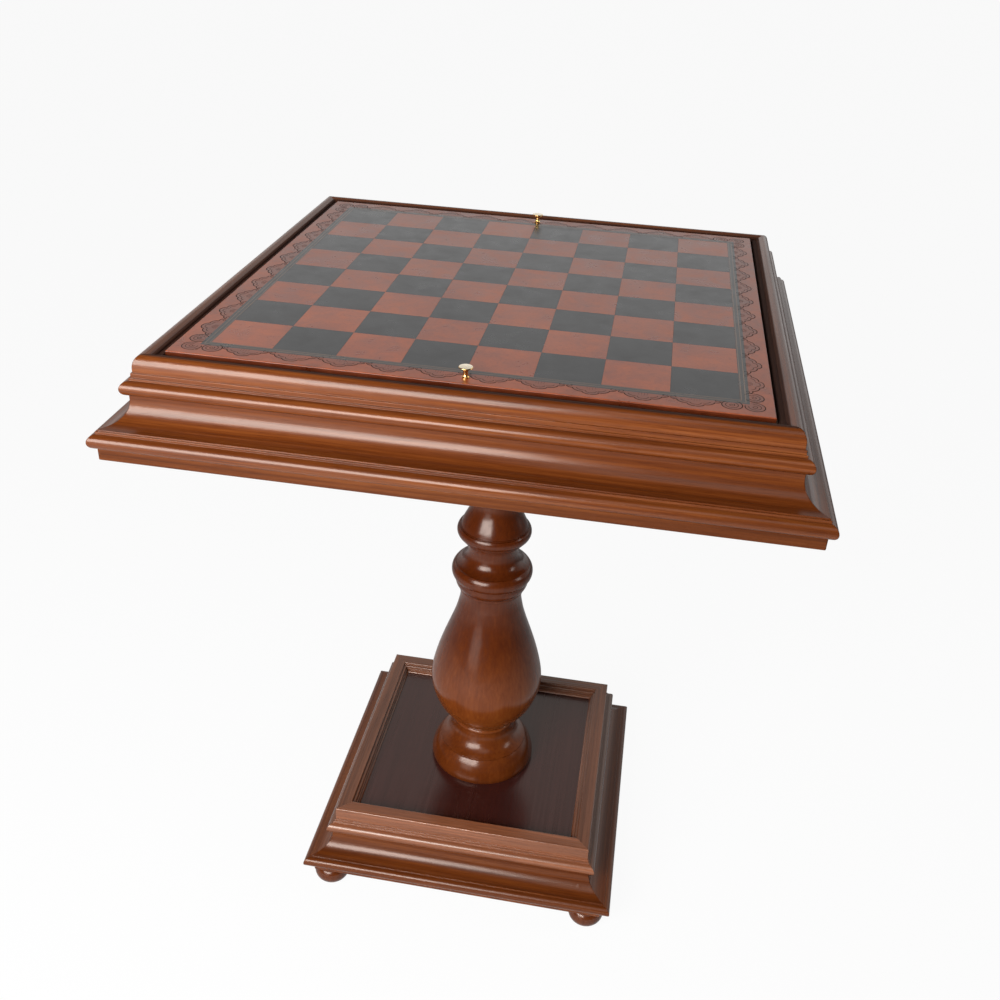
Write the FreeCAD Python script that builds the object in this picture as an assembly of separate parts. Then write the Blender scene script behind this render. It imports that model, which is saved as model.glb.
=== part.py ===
import FreeCAD, Part
import math
import os

from FreeCAD import Vector

# Pedestal chess table with a lift-out board over a shallow box for the chessmen.
# Millimetres, +Z up. The origin is on the floor under the middle of the table.
# The players' front edge faces -Y, and +X is to the right of someone who looks at it.
# Sections are drawn as (distance from the table's axis, height).

# Overall
table_height = 645.0
fit_gap = 0.05             # radial clearance round screws, spigots and nuts
edge_round = 0.4           # sharp outer corners of the mouldings, sanded
board_edge_round = 1.0     # edges of the bottom panel, mounting plate and base board
oval_points = 8            # points that a quarter oval is drawn through
rod_clearance = 0.5        # radial clearance round the tie rod

# Chessboard
square = 50.0
squares_per_side = 8
border_width = 24.5
core_thickness = 6.0
cover_thickness = 1.0
backing_thickness = 1.0
cover_edge_round = 0.8     # outer upper edge of the border sheet
inlay_joint = 0.1          # gap between neighbouring squares
board_play = 1.5           # gap round the board when it lies in the middle of its frame
board_shift = 1.0          # the loose board rests this much to the left
board_recess = 1.0         # board surface below the rails

# Knobs
front_knob_offset = 13.6   # from the outer row of squares to the knob
rear_knob_offset = 11.5
front_knob_shift = 2.0     # hand-set, a little to the right of the middle
knob_height = 9.2
knob_head_radius = 5.4
knob_stem_radius = 1.9
knob_foot_radius = 2.9
knob_screw_radius = 1.0
knob_screw_grip = 4.0      # how far the screw reaches into the knob

# Frame rail, the moulding round the top of both boxes
rail_height = 30.0
rail_fillet_step = 1.2
rail_bead_radius = 5.8
rail_bead_reach = 8.4      # bead beyond the face
top_face_height = 13.0     # from the top down to the first fillet
top_rail_fillet = 3.5      # height of the first fillet
top_arris_width = 6.4
top_arris_height = 10.0
top_arris_start = 102.0    # degrees of the oval at which it carries on from the slope inside it
base_face_height = 14.5
base_rail_fillet = 2.1
base_arris_width = 1.5
base_arris_height = 1.5
base_arris_start = 90.0

# Inner edge of the rails
top_slope_width = 5.7
top_slope_drop = 1.9       # inner end of the slope below the crest of the rail
base_flat_width = 11.6
inner_bead = 1.3
top_step_depth = 3.6
top_step_width = 3.1
base_step_depth = 3.0
base_step_width = 1.5
base_panel_recess = 11.0
panel_bead = 2.0

# Cove moulding, under the rails of both boxes
top_cove_height = 37.0
base_cove_height = 33.8
cove_neck_height = 4.0     # upright part above the cove
cove_depth = 17.9
cove_width = 19.2
cove_lip = 0.8             # level edge at the foot of the cove
cove_fillet_step = 1.2
cove_fillet_height = 1.1
top_cove_fillets = 1
base_cove_fillets = 0
top_nosing_radius = 6.0
base_nosing_radius = 5.5
nosing_reach = 25.8        # nosing beyond the neck
neck_setback = 5.2         # neck of the cove moulding behind the bead of the rail above

# Top box
carcass_thickness = 12.0
ledge_width = 12.0         # how far the carcass reaches in under the board
bottom_panel_thickness = 10.0
bottom_panel_setback = 5.3
lining_thickness = 1.0
lining_drop = 2.0          # wall lining ends this far below the ledge

# Base box
base_neck_half = 138.7
base_panel_thickness = 6.0
base_panel_grip = 5.6      # panel edge covered by the rails
base_panel_play = 0.4
base_board_thickness = 11.2
base_board_setback = 9.1
base_cove_back = 12.7      # wood behind the neck of the base coves
core_block_half = 55.0
corner_block_leg = 34.0
corner_block_height = 30.0

# Bun feet
foot_inset = 15.4          # from the edge of the base board to the middle of the foot
foot_height = 20.0
foot_radius = 18.6
foot_sole_radius = 11.0
foot_collar_radius = 15.4
foot_collar_height = 1.5
spigot_radius = 6.0
spigot_length = 10.0
glide_thickness = 1.5
glide_radius = 10.0

# Turned column, from the foot up
turning_step = 0.9         # small square step beside a bead or ring
plinth_radius = 57.6
plinth_top_radius = 48.2
plinth_foot_height = 10.0
plinth_height = 26.5
ankle_radius = 31.0
ankle_height = 24.0
ankle_bead_radius = 33.8
ankle_bead_height = 6.0
vase_radius = 60.6
vase_foot_radius = 33.0
vase_height = 158.0
collar_radius = 32.2
collar_height = 16.0
collar_band_height = 3.5
lower_torus_radius = 38.0
lower_torus_height = 10.0
lower_band_height = 2.6
lower_ring_radius = 42.3
lower_ring_height = 14.4
waist_radius = 26.0
waist_height = 27.5
small_bead_height = 3.2
small_bead_reach = 2.2
upper_ring_radius = 38.2
upper_ring_height = 11.0
bell_radius = 34.4
bell_height = 30.0
shaft_radius = 24.0
shaft_top_radius = 37.0
cap_ring_radius = 43.0
cap_ring_height = 11.0
cap_sweep_height = 8.0
cap_radius = 46.0
cap_height = 9.0

# Tie rod and mounting plate
plate_half = 80.0
plate_thickness = 20.0
rod_radius = 5.0
nut_flats = 16.0
nut_height = 8.0
washer_radius = 10.0
washer_thickness = 2.0
nut_pocket_radius = 14.0
rod_tip = 1.5              # rod beyond each nut
pocket_clearance = 0.5     # rod end below the mouth of its pocket

# Wood screws
plate_screw_radius = 2.5
plate_screw_length = 26.0
plate_screw_place = 60.0
panel_screw_radius = 2.0
panel_screw_length = 25.0
panel_screw_inset = 17.5   # from the edge of the bottom panel
panel_screw_spread = 120.0
base_screw_radius = 1.75
base_screw_length = 22.0
base_screw_inset = 13.4    # from the edge of the base board
base_screw_spread = 70.0
block_screw_place = 35.0
head_ratio = 2.0           # screw head radius over shank radius

# Heights of the base, from the floor up
foot_z = glide_thickness
base_board_z = foot_z + foot_height
base_cove_z = base_board_z + base_board_thickness
base_rail_z = base_cove_z + base_cove_height
base_top_z = base_rail_z + rail_height
panel_surface_z = base_top_z - base_panel_recess
base_panel_z = panel_surface_z - base_panel_thickness

# Heights of the top box, from the rails down
top_rail_z = table_height - rail_height
top_cove_z = top_rail_z - top_cove_height
bottom_panel_z = top_cove_z - bottom_panel_thickness
plate_z = bottom_panel_z - plate_thickness
board_surface_z = table_height - board_recess
core_top_z = board_surface_z - cover_thickness
core_z = core_top_z - core_thickness
ledge_z = core_z - backing_thickness

# Half-widths
grid_half = square * squares_per_side / 2
board_half = grid_half + border_width
core_half = board_half - cover_thickness
opening_half = board_half + board_play
top_slope_half = opening_half + inner_bead + top_step_width + inner_bead
top_face_half = top_slope_half + top_slope_width + top_arris_width
top_neck_half = top_face_half + rail_bead_reach - neck_setback
bottom_panel_half = top_neck_half + nosing_reach - bottom_panel_setback
carcass_half = opening_half
box_half = carcass_half - carcass_thickness
base_face_half = base_neck_half + neck_setback - rail_bead_reach
base_flat_half = base_face_half - base_arris_width - base_flat_width
base_sight_half = base_flat_half - base_step_width - 3 * inner_bead - panel_bead
base_rabbet_half = base_sight_half + base_panel_grip
base_board_half = base_neck_half + nosing_reach - base_board_setback
foot_centre = base_board_half - foot_inset
base_cove_inner_half = base_neck_half - base_cove_back

# The four sides of a box, as quarter turns from the front
sides = {"front": 0, "right": 1, "rear": 2, "left": 3}


def edge_from(point, move):
    """One edge of an outline, drawn flat as (distance, height), and the point where it ends."""
    kind, *values = move
    if kind == "line":
        end = Vector(values[0], values[1], 0)
        return Part.LineSegment(point, end).toShape(), end
    if kind == "arc":
        middle = Vector(values[0], values[1], 0)
        end = Vector(values[2], values[3], 0)
        return Part.Arc(point, middle, end).toShape(), end
    points = [point] + [Vector(x, y, 0) for x, y in values[0]]
    curve = Part.BSplineCurve()
    curve.interpolate(points)
    return curve.toShape(), points[-1]


def eased(point, corner, beyond):
    """Line from point towards the corner, then a small arc that turns towards the point beyond."""
    back = (point - corner).normalize()
    onward = (beyond - corner).normalize()
    half_angle = back.getAngle(onward) / 2
    reach = edge_round / math.tan(half_angle)
    inward = (back + onward).normalize()
    middle = corner + inward * (edge_round / math.sin(half_angle) - edge_round)
    first = corner + back * reach
    last = corner + onward * reach
    return [("line", first.x, first.y), ("arc", middle.x, middle.y, last.x, last.y)]


def outline(start, moves):
    """Edges along the moves, and the point where they end. A corner is a line whose far end is eased."""
    point = Vector(start[0], start[1], 0)
    edges = []
    for index, move in enumerate(moves):
        steps = [move]
        if move[0] == "corner":
            beyond = moves[index + 1]
            steps = eased(point, Vector(move[1], move[2], 0), Vector(beyond[1], beyond[2], 0))
        for step in steps:
            edge, point = edge_from(point, step)
            edges.append(edge)
    return edges, point


def upright_face(edges):
    """Face within the edges, stood up in the XZ plane."""
    face = Part.Face(Part.Wire(Part.__sortEdges__(edges)))
    face.rotate(Vector(0, 0, 0), Vector(1, 0, 0), 90)
    return face


def section(start, moves):
    """Closed face from the moves, with a straight edge back to the start."""
    edges, end = outline(start, moves)
    first = Vector(start[0], start[1], 0)
    return upright_face(edges + [Part.LineSegment(end, first).toShape()])


def turned(start, moves):
    """Solid of revolution about the Z axis."""
    return section(start, moves).revolve(Vector(0, 0, 0), Vector(0, 0, 1), 360)


def moved(shape, x, y, z=0.0):
    copy = shape.copy()
    copy.translate(Vector(x, y, z))
    return copy


def slab(half_x, half_y, z, thickness):
    """Flat board centred on the axis, with its underside at height z."""
    return Part.makeBox(2 * half_x, 2 * half_y, thickness, Vector(-half_x, -half_y, z))


def eased_slab(half, z, thickness):
    """Square board with its outer edges rounded over."""
    board = slab(half, half, z, thickness)
    return board.makeFillet(board_edge_round, board.Edges)


def rod_at(radius, z, length, x=0.0, y=0.0):
    return Part.makeCylinder(radius, length, Vector(x, y, z))


def quarter_turned(shape, side):
    copy = shape.copy()
    copy.rotate(Vector(0, 0, 0), Vector(0, 0, 1), 90 * sides[side])
    return copy


def mitred(face, outer_half, side):
    """Length of moulding along one side, cut at 45 degrees at both ends."""
    reach = 2 * outer_half
    profile = face.copy()
    profile.rotate(Vector(0, 0, 0), Vector(0, 0, 1), -90)
    profile.translate(Vector(-reach, 0, 0))
    length = profile.extrude(Vector(2 * reach, 0, 0))
    corners = [Vector(0, 0, 0), Vector(-reach, -reach, 0), Vector(reach, -reach, 0), Vector(0, 0, 0)]
    wedge = Part.Face(Part.makePolygon(corners)).extrude(Vector(0, 0, table_height + reach))
    return quarter_turned(length.common(wedge).Solids[0], side)


def four_corners(place):
    return [(x, y) for x in (-place, place) for y in (-place, place)]


def edge_pairs(place, spread):
    """Two points near each of the four edges of a square."""
    points = []
    for across in (-place, place):
        for along in (-spread, spread):
            points.append((across, along))
            points.append((along, across))
    return points


# Screws

def countersunk(shank_radius, length, extra=0.0, below=0.0):
    """Countersunk screw along +Z with its head flush at z = 0.

    With extra and below it is the hole for that screw, wider and open at the mouth.
    """
    head_radius = shank_radius * head_ratio
    head_depth = head_radius - shank_radius
    point = length - 2 * shank_radius
    moves = [("line", head_radius + extra, -below)]
    if below:
        moves.append(("line", head_radius + extra, 0))
    moves.append(("line", shank_radius + extra, head_depth))
    moves.append(("line", shank_radius + extra, point))
    moves.append(("line", 0, length + extra))
    return turned((0, -below), moves)


def slotted_screw(shank_radius, length):
    head_radius = shank_radius * head_ratio
    slot_width = head_radius * 0.3
    slot_depth = (head_radius - shank_radius) * 0.5
    slot = Part.makeBox(4 * head_radius, slot_width, 2 * slot_depth,
                        Vector(-2 * head_radius, -slot_width / 2, -slot_depth))
    return countersunk(shank_radius, length).cut(slot)


def screw_group(shank_radius, length, points, z):
    screw = slotted_screw(shank_radius, length)
    return Part.makeCompound([moved(screw, x, y, z) for x, y in points])


def drilled(shape, shank_radius, length, points, z):
    """Cuts the holes for a group of screws."""
    hole = countersunk(shank_radius, length, fit_gap, fit_gap)
    for x, y in points:
        shape = shape.cut(moved(hole, x, y, z))
    return shape


plate_screw_points = four_corners(plate_screw_place)
panel_screw_points = edge_pairs(bottom_panel_half - panel_screw_inset, panel_screw_spread)
base_screw_points = edge_pairs(base_board_half - base_screw_inset, base_screw_spread)
block_screw_points = four_corners(block_screw_place)


# Mouldings

def rounded(x, z, size):
    """Convex quarter round from (x, z) inward and down by size."""
    diagonal = size * math.sin(math.pi / 4)
    return ("arc", x - diagonal, z - size + diagonal, x - size, z - size)


def quarter_oval(centre_x, centre_z, width, height, first, last):
    """Quarter of an oval between two angles in degrees, drawn through points on it."""
    points = []
    for step in range(1, oval_points + 1):
        angle = math.radians(first + (last - first) * step / oval_points)
        points.append((centre_x + width * math.cos(angle), centre_z + height * math.sin(angle)))
    return ("spline", points)


def round_edge(from_x, reach_x, bottom_z, radius):
    """Down from a fillet at from_x and round a half-round bead to its underside."""
    bead_x = reach_x - radius
    bead_z = bottom_z + radius
    meet_z = bead_z + math.sqrt(radius ** 2 - (from_x - bead_x) ** 2)
    return [("line", from_x, meet_z), ("arc", reach_x, bead_z, bead_x, bottom_z)]


class RailShape:
    """What differs between the outer sides of the two rails."""

    def __init__(self, face_height, fillet, arris_width, arris_height, arris_start):
        self.face_height = face_height
        self.fillet = fillet
        self.arris_width = arris_width
        self.arris_height = arris_height
        self.arris_start = arris_start

    def oval_centre(self, face_half, top_z):
        return face_half - self.arris_width, top_z - self.arris_height

    def arris_edge(self, face_half, top_z):
        """Where the top of the rail turns into the arris."""
        centre_x, centre_z = self.oval_centre(face_half, top_z)
        angle = math.radians(self.arris_start)
        return centre_x + self.arris_width * math.cos(angle), centre_z + self.arris_height * math.sin(angle)


top_shape = RailShape(top_face_height, top_rail_fillet, top_arris_width, top_arris_height, top_arris_start)
base_shape = RailShape(base_face_height, base_rail_fillet,
                       base_arris_width, base_arris_height, base_arris_start)


def rail_outside(face_half, shape, top_z):
    """Outer outline of a rail, from the arris down to its underside."""
    centre_x, centre_z = shape.oval_centre(face_half, top_z)
    upper_x = face_half + rail_fillet_step
    lower_x = upper_x + rail_fillet_step
    upper_z = top_z - shape.face_height
    lower_z = upper_z - shape.fillet
    return [
        quarter_oval(centre_x, centre_z, shape.arris_width, shape.arris_height, shape.arris_start, 0),
        ("line", face_half, upper_z),
        ("corner", upper_x, upper_z),
        ("line", upper_x, lower_z),
        ("corner", lower_x, lower_z),
    ] + round_edge(lower_x, face_half + rail_bead_reach, top_z - rail_height, rail_bead_radius)


def rail(face_half, shape, top_z, inner_edge, inside, side):
    """Mitred rail from the outer moulding and the moves down its inner side from its inner top edge."""
    arris_edge = shape.arris_edge(face_half, top_z)
    outer_edges, outer_end = outline(arris_edge, rail_outside(face_half, shape, top_z))
    inner_edges, inner_end = outline(inner_edge, inside)
    top_edge = Part.LineSegment(Vector(*arris_edge, 0), Vector(*inner_edge, 0)).toShape()
    bottom_edge = Part.LineSegment(inner_end, outer_end).toShape()
    face = upright_face(outer_edges + inner_edges + [top_edge, bottom_edge])
    return mitred(face, face_half + rail_bead_reach, side)


def top_rail(side):
    """Rail whose top slopes inward from its crest and steps down to the opening for the board."""
    step_half = top_slope_half - inner_bead
    step_z = table_height - top_step_depth
    slope_z = table_height - top_slope_drop
    inside = [
        rounded(top_slope_half, slope_z, inner_bead),
        ("line", step_half, step_z),
        ("line", opening_half + inner_bead, step_z),
        rounded(opening_half + inner_bead, step_z, inner_bead),
        ("line", opening_half, top_rail_z),
    ]
    return rail(top_face_half, top_shape, table_height, (top_slope_half, slope_z), inside, side)


def base_rail(side):
    """Rail whose inner side steps down to a bead over the edge of the base panel."""
    upper_half = base_flat_half - inner_bead
    upper_z = base_top_z - base_step_depth
    middle_half = upper_half - base_step_width - inner_bead
    middle_z = upper_z - base_step_depth
    bead_z = panel_surface_z + panel_bead
    inside = [
        rounded(base_flat_half, base_top_z, inner_bead),
        ("line", upper_half, upper_z),
        ("line", upper_half - base_step_width, upper_z),
        rounded(upper_half - base_step_width, upper_z, inner_bead),
        ("line", middle_half, middle_z),
        ("line", base_sight_half + panel_bead, middle_z),
        ("line", base_sight_half + panel_bead, bead_z),
        rounded(base_sight_half + panel_bead, bead_z, panel_bead),
        ("line", base_rabbet_half, panel_surface_z),
        ("line", base_rabbet_half, base_rail_z),
    ]
    return rail(base_face_half, base_shape, base_top_z, (base_flat_half, base_top_z), inside, side)


def cove_section(neck_half, back_half, top_z, bottom_z, fillets, nosing_radius):
    """Upright neck, cove, fillets and a round nosing above the flat underside."""
    neck_z = top_z - cove_neck_height
    sweep = cove_width - cove_lip
    x = neck_half + cove_width
    z = neck_z - cove_depth
    moves = [
        ("line", neck_half, top_z),
        ("line", neck_half, neck_z),
        quarter_oval(neck_half + sweep, neck_z, sweep, cove_depth, 180, 270),
    ]
    for fillet in range(fillets):
        moves.append(("corner", x, z))
        z -= cove_fillet_height
        moves.append(("line", x, z))
        x += cove_fillet_step
    moves.append(("corner", x, z))
    moves += round_edge(x, neck_half + nosing_reach, bottom_z, nosing_radius)
    moves.append(("line", back_half, bottom_z))
    return section((back_half, top_z), moves)


def top_cove(side):
    face = cove_section(top_neck_half, carcass_half, top_rail_z, top_cove_z, top_cove_fillets, top_nosing_radius)
    moulding = mitred(face, top_neck_half + nosing_reach, side)
    return drilled(moulding, panel_screw_radius, panel_screw_length, panel_screw_points, bottom_panel_z)


def base_cove(side):
    face = cove_section(base_neck_half, base_cove_inner_half, base_rail_z, base_cove_z,
                        base_cove_fillets, base_nosing_radius)
    moulding = mitred(face, base_neck_half + nosing_reach, side)
    return drilled(moulding, base_screw_radius, base_screw_length, base_screw_points, base_board_z)


# Top box

def carcass_side(side):
    """Front and rear run the full width, left and right stand between them."""
    half_length = carcass_half if side in ("front", "rear") else box_half
    board = Part.makeBox(2 * half_length, carcass_thickness, ledge_z - top_cove_z,
                         Vector(-half_length, -carcass_half, top_cove_z))
    return quarter_turned(board, side)


def bottom_panel():
    panel = eased_slab(bottom_panel_half, bottom_panel_z, bottom_panel_thickness)
    panel = drilled(panel, panel_screw_radius, panel_screw_length, panel_screw_points, bottom_panel_z)
    return drilled(panel, plate_screw_radius, plate_screw_length, plate_screw_points, plate_z)


def floor_lining():
    return slab(box_half, box_half, top_cove_z, lining_thickness)


def wall_lining(side):
    half_length = box_half if side in ("front", "rear") else box_half - lining_thickness
    bottom_z = top_cove_z + lining_thickness
    lining = Part.makeBox(2 * half_length, lining_thickness, ledge_z - lining_drop - bottom_z,
                          Vector(-half_length, -box_half, bottom_z))
    return quarter_turned(lining, side)


# Board

knob_places = {
    "front": (front_knob_shift, -(grid_half + front_knob_offset)),
    "rear": (0.0, grid_half + rear_knob_offset),
}


def knob_screw_hole():
    length = core_thickness + cover_thickness + knob_screw_grip
    return countersunk(knob_screw_radius, length, fit_gap, fit_gap)


def board_core():
    core = slab(core_half, core_half, core_z, core_thickness)
    for x, y in knob_places.values():
        core = core.cut(moved(knob_screw_hole(), x, y, core_z))
    return moved(core, -board_shift, 0)


def board_backing():
    return moved(slab(board_half, board_half, ledge_z, backing_thickness), -board_shift, 0)


def board_border():
    """Sheet round the squares, folded down over the edges of the core. The knob screws pass through it."""
    sheet = slab(board_half, board_half, core_z, core_thickness + cover_thickness)
    upper_edges = [edge for edge in sheet.Edges if edge.BoundBox.ZMin > core_top_z]
    sheet = sheet.makeFillet(cover_edge_round, upper_edges)
    sheet = sheet.cut(slab(core_half, core_half, core_z, core_thickness))
    sheet = sheet.cut(slab(grid_half, grid_half, core_top_z, cover_thickness))
    for x, y in knob_places.values():
        sheet = sheet.cut(rod_at(knob_screw_radius + fit_gap, core_top_z, cover_thickness, x, y))
    return moved(sheet, -board_shift, 0)


def board_squares(colour):
    """Every second square. The front left one is light."""
    side = square - inlay_joint
    tile = Part.makeBox(side, side, cover_thickness, Vector(inlay_joint / 2, inlay_joint / 2, core_top_z))
    tiles = []
    for column in range(squares_per_side):
        for row in range(squares_per_side):
            if (column + row) % 2 == colour:
                x = column * square - grid_half - board_shift
                y = row * square - grid_half
                tiles.append(moved(tile, x, y))
    return Part.makeCompound(tiles)


def crown(radius, edge_z, top_z):
    """Shallow dome from (radius, edge_z) up to the axis, square to it."""
    rise = top_z - edge_z
    ball = (radius ** 2 + rise ** 2) / (2 * rise)
    middle_z = top_z - ball + math.sqrt(ball ** 2 - (radius / 2) ** 2)
    return ("arc", radius / 2, middle_z, 0, top_z)


def knob(side):
    """Turned mushroom knob with a blind hole from below."""
    rim_z = knob_height * 0.88
    neck_z = knob_height * 0.60
    waist_z = knob_height * 0.40
    foot_edge = knob_height * 0.08
    crown_edge = knob_head_radius * 0.9
    crown_z = knob_height * 0.965
    body = turned((0, 0), [
        ("line", knob_foot_radius, 0),
        ("line", knob_foot_radius, foot_edge),
        ("arc", knob_stem_radius + (knob_foot_radius - knob_stem_radius) * 0.3,
         foot_edge + (waist_z - foot_edge) * 0.35, knob_stem_radius, waist_z),
        ("line", knob_stem_radius, neck_z),
        ("arc", knob_stem_radius + (knob_head_radius - knob_stem_radius) * 0.35,
         neck_z + (rim_z - neck_z) * 0.6, knob_head_radius, rim_z),
        ("arc", knob_head_radius * 0.985, knob_height * 0.93, crown_edge, crown_z),
        crown(crown_edge, crown_z, knob_height),
    ])
    hole = rod_at(knob_screw_radius + fit_gap, 0, knob_screw_grip + fit_gap)
    x, y = knob_places[side]
    return moved(body.cut(hole), x - board_shift, y, board_surface_z)


def knob_screws():
    length = core_thickness + cover_thickness + knob_screw_grip
    points = [(x - board_shift, y) for x, y in knob_places.values()]
    return screw_group(knob_screw_radius, length, points, core_z)


# Pedestal

def column_length():
    return plate_z - panel_surface_z


class Turning:
    """Outline of a turned piece, drawn from its foot upward."""

    def __init__(self, radius):
        self.z = 0.0
        self.moves = [("line", radius, 0)]

    def step(self, radius):
        self.moves.append(("line", radius, self.z))

    def band(self, radius, height):
        self.step(radius)
        self.z += height
        self.moves.append(("line", radius, self.z))

    def arc(self, middle_radius, end_radius, height, middle_share=0.5):
        """Arc up to end_radius, through middle_radius at middle_share of its height."""
        self.moves.append(("arc", middle_radius, self.z + height * middle_share, end_radius, self.z + height))
        self.z += height

    def curve(self, height, points):
        """Smooth curve through (share of the height, radius) points."""
        self.moves.append(("spline", [(radius, self.z + height * share) for share, radius in points]))
        self.z += height


def vase_points():
    """The baluster's belly as shares of its height, with the swell as shares of its reach."""
    swell = vase_radius - vase_foot_radius
    shares = [(0.05, 0.235), (0.10, 0.48), (0.18, 0.752), (0.275, 0.94), (0.37, 1.0),
              (0.475, 0.91), (0.60, 0.72), (0.75, 0.43), (0.90, 0.135), (1.0, 0.0)]
    return [(height, vase_foot_radius + swell * reach) for height, reach in shares]


def column_outline():
    """Moves up the outside of the column. The shaft takes up what the rest leaves of its length."""
    foot = Turning(plinth_radius - turning_step)
    foot.arc(plinth_radius, plinth_radius - turning_step, plinth_foot_height)
    foot.arc((plinth_radius + plinth_top_radius) / 2 + turning_step, plinth_top_radius,
             plinth_height - plinth_foot_height)
    foot.band(plinth_top_radius - turning_step, turning_step)
    ankle_reach = plinth_top_radius - ankle_radius
    foot.arc(ankle_radius + ankle_reach * 0.32, ankle_radius, ankle_height - turning_step, 0.33)
    foot.step(ankle_radius + turning_step)
    foot.arc(ankle_bead_radius, ankle_radius + turning_step, ankle_bead_height)
    foot.step(vase_foot_radius)
    foot.curve(vase_height, vase_points())

    foot.arc(collar_radius, collar_radius + turning_step, collar_height, 0.45)
    foot.band(collar_radius + 2 * turning_step, collar_band_height)
    foot.step(lower_torus_radius - 3 * turning_step)
    foot.arc(lower_torus_radius, lower_torus_radius, lower_torus_height, 0.6)
    foot.band(lower_torus_radius + turning_step, lower_band_height)
    foot.step(lower_ring_radius - 2 * turning_step)
    foot.arc(lower_ring_radius, lower_ring_radius - 4 * turning_step, lower_ring_height, 0.42)
    foot.step(lower_ring_radius - 5 * turning_step)
    waist_reach = lower_ring_radius - 5 * turning_step - waist_radius
    dish_height = waist_height * 0.62
    foot.arc(waist_radius + waist_reach * 0.27, waist_radius, dish_height, 0.37)
    foot.arc(waist_radius + small_bead_reach * 0.3, waist_radius + small_bead_reach,
             waist_height - dish_height)

    radius = waist_radius + small_bead_reach + turning_step
    for bead in range(2):
        foot.step(radius)
        foot.arc(radius + small_bead_reach * 0.9, radius + small_bead_reach, small_bead_height)
        radius += small_bead_reach + turning_step
    foot.step(upper_ring_radius - 3 * turning_step)
    foot.arc(upper_ring_radius, upper_ring_radius - 2 * turning_step, upper_ring_height)
    foot.band(bell_radius + turning_step, turning_step)
    foot.step(bell_radius)
    shaft_reach = shaft_top_radius - shaft_radius
    bell_reach = bell_radius - shaft_radius
    rings_height = cap_ring_height + cap_sweep_height + cap_height
    shaft_height = column_length() - rings_height - foot.z
    bell_share = bell_height / shaft_height
    foot.curve(shaft_height, [
        (bell_share * 0.22, shaft_radius + bell_reach * 0.77),
        (bell_share * 0.48, shaft_radius + bell_reach * 0.4),
        (bell_share * 0.78, shaft_radius + bell_reach * 0.08),
        (bell_share, shaft_radius),
        (bell_share + (1 - bell_share) * 0.4, shaft_radius + shaft_reach * 0.3),
        (bell_share + (1 - bell_share) * 0.8, shaft_radius + shaft_reach * 0.8),
        (1.0, shaft_top_radius),
    ])
    foot.step(shaft_top_radius + 2 * turning_step)
    foot.arc(cap_ring_radius, shaft_top_radius + 2 * turning_step, cap_ring_height)
    foot.step(shaft_top_radius)
    sweep_reach = cap_radius - 2 * turning_step - shaft_top_radius
    foot.arc(shaft_top_radius + sweep_reach * 0.25, cap_radius - 2 * turning_step, cap_sweep_height, 0.7)
    foot.band(cap_radius, cap_height)
    foot.step(0)
    return foot.moves


def column():
    body = turned((0, 0), column_outline())
    body = body.cut(rod_at(rod_radius + rod_clearance, 0, column_length()))
    return moved(body, 0, 0, panel_surface_z)


def pocket_depth():
    return washer_thickness + nut_height + rod_tip + pocket_clearance


def rod_bottom():
    return base_cove_z + pocket_clearance


def rod_top():
    return bottom_panel_z - pocket_clearance


def tie_rod():
    return rod_at(rod_radius, rod_bottom(), rod_top() - rod_bottom())


def mounting_plate():
    plate = eased_slab(plate_half, plate_z, plate_thickness)
    plate = plate.cut(rod_at(rod_radius + rod_clearance, plate_z, plate_thickness))
    plate = plate.cut(rod_at(nut_pocket_radius, bottom_panel_z - pocket_depth(), pocket_depth()))
    return drilled(plate, plate_screw_radius, plate_screw_length, plate_screw_points, plate_z)


def tie_rod_washers():
    washer = rod_at(washer_radius, 0, washer_thickness).cut(
        rod_at(rod_radius + rod_clearance, 0, washer_thickness))
    lower_z = base_cove_z + pocket_depth() - washer_thickness
    upper_z = bottom_panel_z - pocket_depth()
    return Part.makeCompound([moved(washer, 0, 0, lower_z), moved(washer, 0, 0, upper_z)])


def tie_rod_nuts():
    corner_radius = nut_flats / math.sqrt(3)
    corners = [Vector(corner_radius * math.cos(math.radians(60 * i)),
                      corner_radius * math.sin(math.radians(60 * i)), 0) for i in range(7)]
    nut = Part.Face(Part.makePolygon(corners)).extrude(Vector(0, 0, nut_height))
    nut = nut.cut(rod_at(rod_radius + fit_gap, 0, nut_height))
    lower_z = base_cove_z + pocket_depth() - washer_thickness - nut_height
    upper_z = bottom_panel_z - pocket_depth() + washer_thickness
    return Part.makeCompound([moved(nut, 0, 0, lower_z), moved(nut, 0, 0, upper_z)])


# Base box

def base_panel():
    half = base_rabbet_half - base_panel_play
    panel = slab(half, half, base_panel_z, base_panel_thickness)
    return panel.cut(rod_at(rod_radius + rod_clearance, base_panel_z, base_panel_thickness))


def core_block():
    height = base_panel_z - base_cove_z
    block = slab(core_block_half, core_block_half, base_cove_z, height)
    block = block.cut(rod_at(rod_radius + rod_clearance, base_cove_z, height))
    block = block.cut(rod_at(nut_pocket_radius, base_cove_z, pocket_depth()))
    return drilled(block, panel_screw_radius, panel_screw_length, block_screw_points, base_board_z)


def corner_block(side):
    """Triangular block in the corner to the right of the named side."""
    corner = Vector(base_cove_inner_half, -base_cove_inner_half, base_cove_z)
    along_front = corner + Vector(-corner_block_leg, 0, 0)
    along_side = corner + Vector(0, corner_block_leg, 0)
    points = [corner, along_front, along_side, corner]
    block = Part.Face(Part.makePolygon(points)).extrude(Vector(0, 0, corner_block_height))
    return quarter_turned(block, side)


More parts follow.
